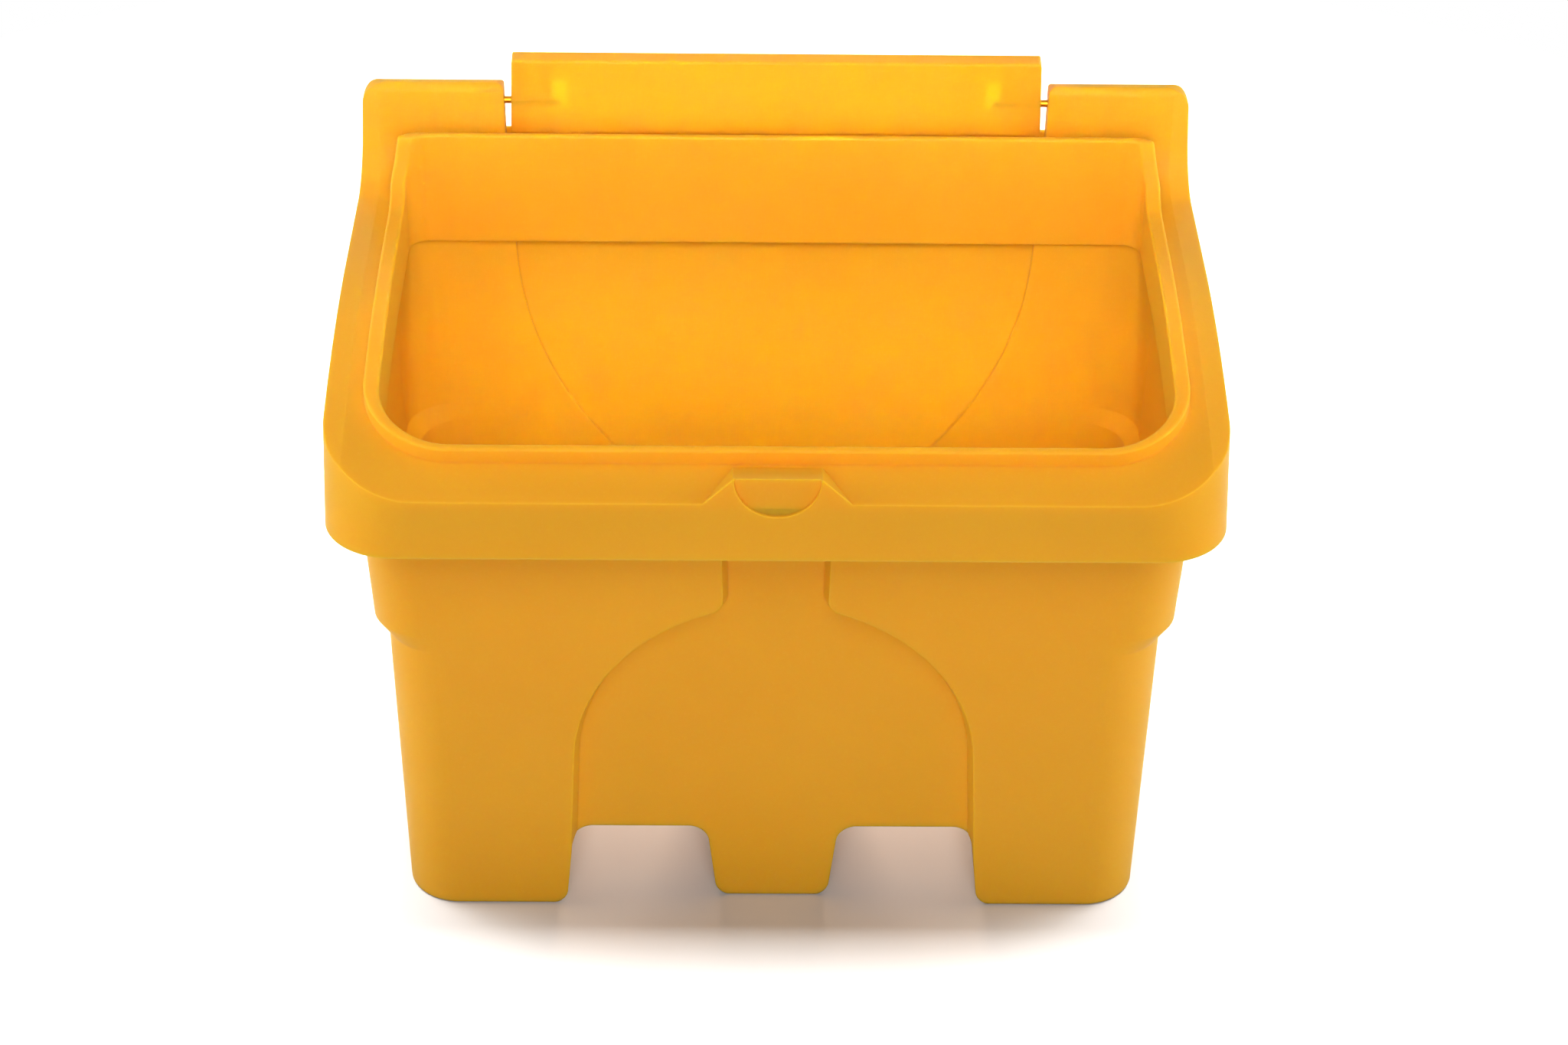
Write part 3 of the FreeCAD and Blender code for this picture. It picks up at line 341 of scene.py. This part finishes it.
def area_light(name, place, aim, size, power, lights_only, spread=180):
    """A rectangular lamp that faces its aim, lights one group only, and spreads by degrees."""
    data = bpy.data.lights.new(name, "AREA")
    data.shape = "RECTANGLE"
    data.size, data.size_y = size
    data.spread = math.radians(spread)
    data.energy = power
    lamp = bpy.data.objects.new(name, data)
    bpy.context.collection.objects.link(lamp)
    lamp.location = place
    lamp.rotation_euler = (Vector(aim) - Vector(place)).to_track_quat("-Z", "Y").to_euler()
    lamp.light_linking.receiver_collection = lights_only
    return lamp


def light_group(name, things):
    """The things that a lamp shines on, as a collection that isn't in the scene itself."""
    group = bpy.data.collections.new(name)
    for thing in things:
        group.objects.link(thing)
    return group


def seen_rays(tree):
    """1 for the rays that the camera sees by, straight, mirrored or through glass, and otherwise 0."""
    path = add(tree, "ShaderNodeLightPath")
    mirrored = add(tree, "ShaderNodeMath", {
        0: path.outputs["Is Camera Ray"], 1: path.outputs["Is Glossy Ray"]}, operation="MAXIMUM")
    through = add(tree, "ShaderNodeMath", {
        0: mirrored.outputs[0], 1: path.outputs["Is Transmission Ray"]}, operation="MAXIMUM")
    return through.outputs[0]


def studio_paper(s):
    """Matt white paper, as the camera sees it. The bin gets the light of a grey floor from it."""
    material, tree = new_material("studio_paper")
    seen = seen_rays(tree)
    tone = add(tree, "ShaderNodeMix", {
        "Factor": seen, MIX_A: linear(s.floor_hex),
        MIX_B: (s.floor_gain, s.floor_gain, s.floor_gain, 1.0)}, data_type="RGBA")
    paper = add(tree, "ShaderNodeBsdfDiffuse", {"Color": tone.outputs[MIX_RESULT]})
    # past the lamps' reach the camera sees plain white paper, out to the horizon
    away = add(tree, "ShaderNodeVectorMath", {
        0: add(tree, "ShaderNodeTexCoord").outputs["Object"]}, operation="LENGTH")
    far = add(tree, "ShaderNodeMapRange", {
        "Value": away.outputs["Value"], "From Min": s.lit_radius, "From Max": s.white_radius})
    share = add(tree, "ShaderNodeMath", {0: far.outputs["Result"], 1: seen}, operation="MULTIPLY")
    white = add(tree, "ShaderNodeEmission", {"Color": (1, 1, 1, 1), "Strength": 1.0})
    surface = add(tree, "ShaderNodeMixShader", {
        0: share.outputs[0], 1: paper.outputs[0], 2: white.outputs[0]})
    add(tree, "ShaderNodeOutputMaterial", {"Surface": surface.outputs[0]})
    return material


def studio_air(s):
    """Even white air, plain white to the camera and weak as a light."""
    world = bpy.data.worlds.new("studio_air")
    world.use_nodes = True
    tree = world.node_tree
    tree.nodes.clear()
    strength = add(tree, "ShaderNodeMapRange", {
        "Value": seen_rays(tree), "To Min": s.sky_strength, "To Max": 1.0})
    air = add(tree, "ShaderNodeBackground", {
        "Color": (1, 1, 1, 1), "Strength": strength.outputs["Result"]})
    add(tree, "ShaderNodeOutputWorld", {"Surface": air.outputs[0]})
    return world


def hang_lamps(s, floor):
    """Soft lamps round the bin, and others that shine only on the paper and make its shadow."""
    on_paper = light_group("lit_paper", [floor])
    on_bin = light_group("lit_bin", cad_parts.values())
    wide = (1.6, 1.6)
    in_front = (0, -3.6, 1.6)
    middle = (0, 0.1, 0.4)
    ground = (0, 0, 0)
    area_light("front_light", in_front, middle, wide, s.front_power, on_bin)
    area_light("high_light", (0, -2.2, 3.2), middle, wide, s.high_power, on_bin)
    area_light("back_light", (0, 2.6, 0.9), (0, 0, 0.6), (2.0, 2.0), s.back_power, on_bin)
    # narrow lamps for the inside of the opening, and for the towers and the tongue between them
    area_light("opening_light", (0, -1.3, 1.7), (0, 0.17, 0.43), (0.75, 0.16), s.opening_power,
               on_bin, spread=11)
    area_light("strip_light", (0, -1.6, 1.6), (0, 0.27, 0.7), (1.0, 0.1), s.strip_power,
               on_bin, spread=9)
    # a low lamp shines through the channels, warm as the light between yellow walls is
    low = area_light("low_paper_light", (0, 2.6, 0.62), ground, (0.7, 0.35), s.low_power, on_paper)
    low.data.color = linear(s.low_hex)[:3]
    area_light("front_paper_light", in_front, ground, wide, s.front_paper_power, on_paper)
    for side, name in ((1, "right"), (-1, "left")):
        area_light(name + "_light", (2.6 * side, 0, 1.3), (0, 0, 0.5), wide, s.side_power, on_bin)
        area_light(name + "_paper_light", (0.9 * side, 0.1, 2.8), (0, 0.1, 0), (1.0, 1.7),
                   s.paper_power, on_paper)


def photograph_camera(s):
    """The camera at the photograph's viewing angle. It looks along yaw and pitch to its aim, and
    leans by its roll."""
    pitch, yaw, roll = s.camera_pitch, s.camera_yaw, s.camera_roll
    ahead = Vector((math.sin(yaw) * math.cos(pitch), math.cos(yaw) * math.cos(pitch),
                    -math.sin(pitch)))
    level = Vector((math.cos(yaw), -math.sin(yaw), 0))
    upright = level.cross(ahead)
    right = level * math.cos(roll) + upright * math.sin(roll)
    up = upright * math.cos(roll) - level * math.sin(roll)
    data = bpy.data.cameras.new("camera")
    data.sensor_width = 36.0
    data.lens = s.camera_lens
    camera = bpy.data.objects.new("camera", data)
    bpy.context.collection.objects.link(camera)
    turn = Matrix((right, up, -ahead)).transposed().to_4x4()
    camera.matrix_world = Matrix.Translation(Vector(s.camera_aim) - ahead * s.camera_distance) @ turn
    return camera


class GRITBIN_OT_studio(bpy.types.Operator):
    """Sets up the pale floor, the soft lights and the camera"""
    bl_idname = "gritbin.studio"
    bl_label = "Studio"

    def execute(self, context):
        scene = context.scene
        s = scene.grit_bin_studio
        floor = flat_sheet("floor", s.floor_half)
        floor.data.materials.append(studio_paper(s))
        scene.world = studio_air(s)
        hang_lamps(s, floor)
        scene.camera = photograph_camera(s)
        scene.view_settings.view_transform = "Standard"
        return {"FINISHED"}


class GRITBIN_PT_panel(bpy.types.Panel):
    """Lists the bin's build steps"""
    bl_idname = "GRITBIN_PT_panel"
    bl_label = "Grit bin"
    bl_space_type = "VIEW_3D"
    bl_region_type = "UI"
    bl_category = "Grit bin"

    def draw(self, context):
        for operator in OPERATORS:
            self.layout.operator(operator.bl_idname)


GROUPS = (GritBinPlastic, GritBinSteel, GritBinStudio)
OPERATORS = (GRITBIN_OT_mouldings, GRITBIN_OT_pins, GRITBIN_OT_studio)


def register():
    for item in GROUPS + OPERATORS + (GRITBIN_PT_panel,):
        bpy.utils.register_class(item)
    bpy.types.Scene.grit_bin_plastic = bpy.props.PointerProperty(type=GritBinPlastic)
    bpy.types.Scene.grit_bin_steel = bpy.props.PointerProperty(type=GritBinSteel)
    bpy.types.Scene.grit_bin_studio = bpy.props.PointerProperty(type=GritBinStudio)


def unregister():
    del bpy.types.Scene.grit_bin_studio
    del bpy.types.Scene.grit_bin_steel
    del bpy.types.Scene.grit_bin_plastic
    for item in reversed(GROUPS + OPERATORS + (GRITBIN_PT_panel,)):
        bpy.utils.unregister_class(item)


def main():
    register()
    bpy.ops.gritbin.mouldings()
    bpy.ops.gritbin.pins()
    bpy.ops.gritbin.studio()


if __name__ == "__main__":
    main()
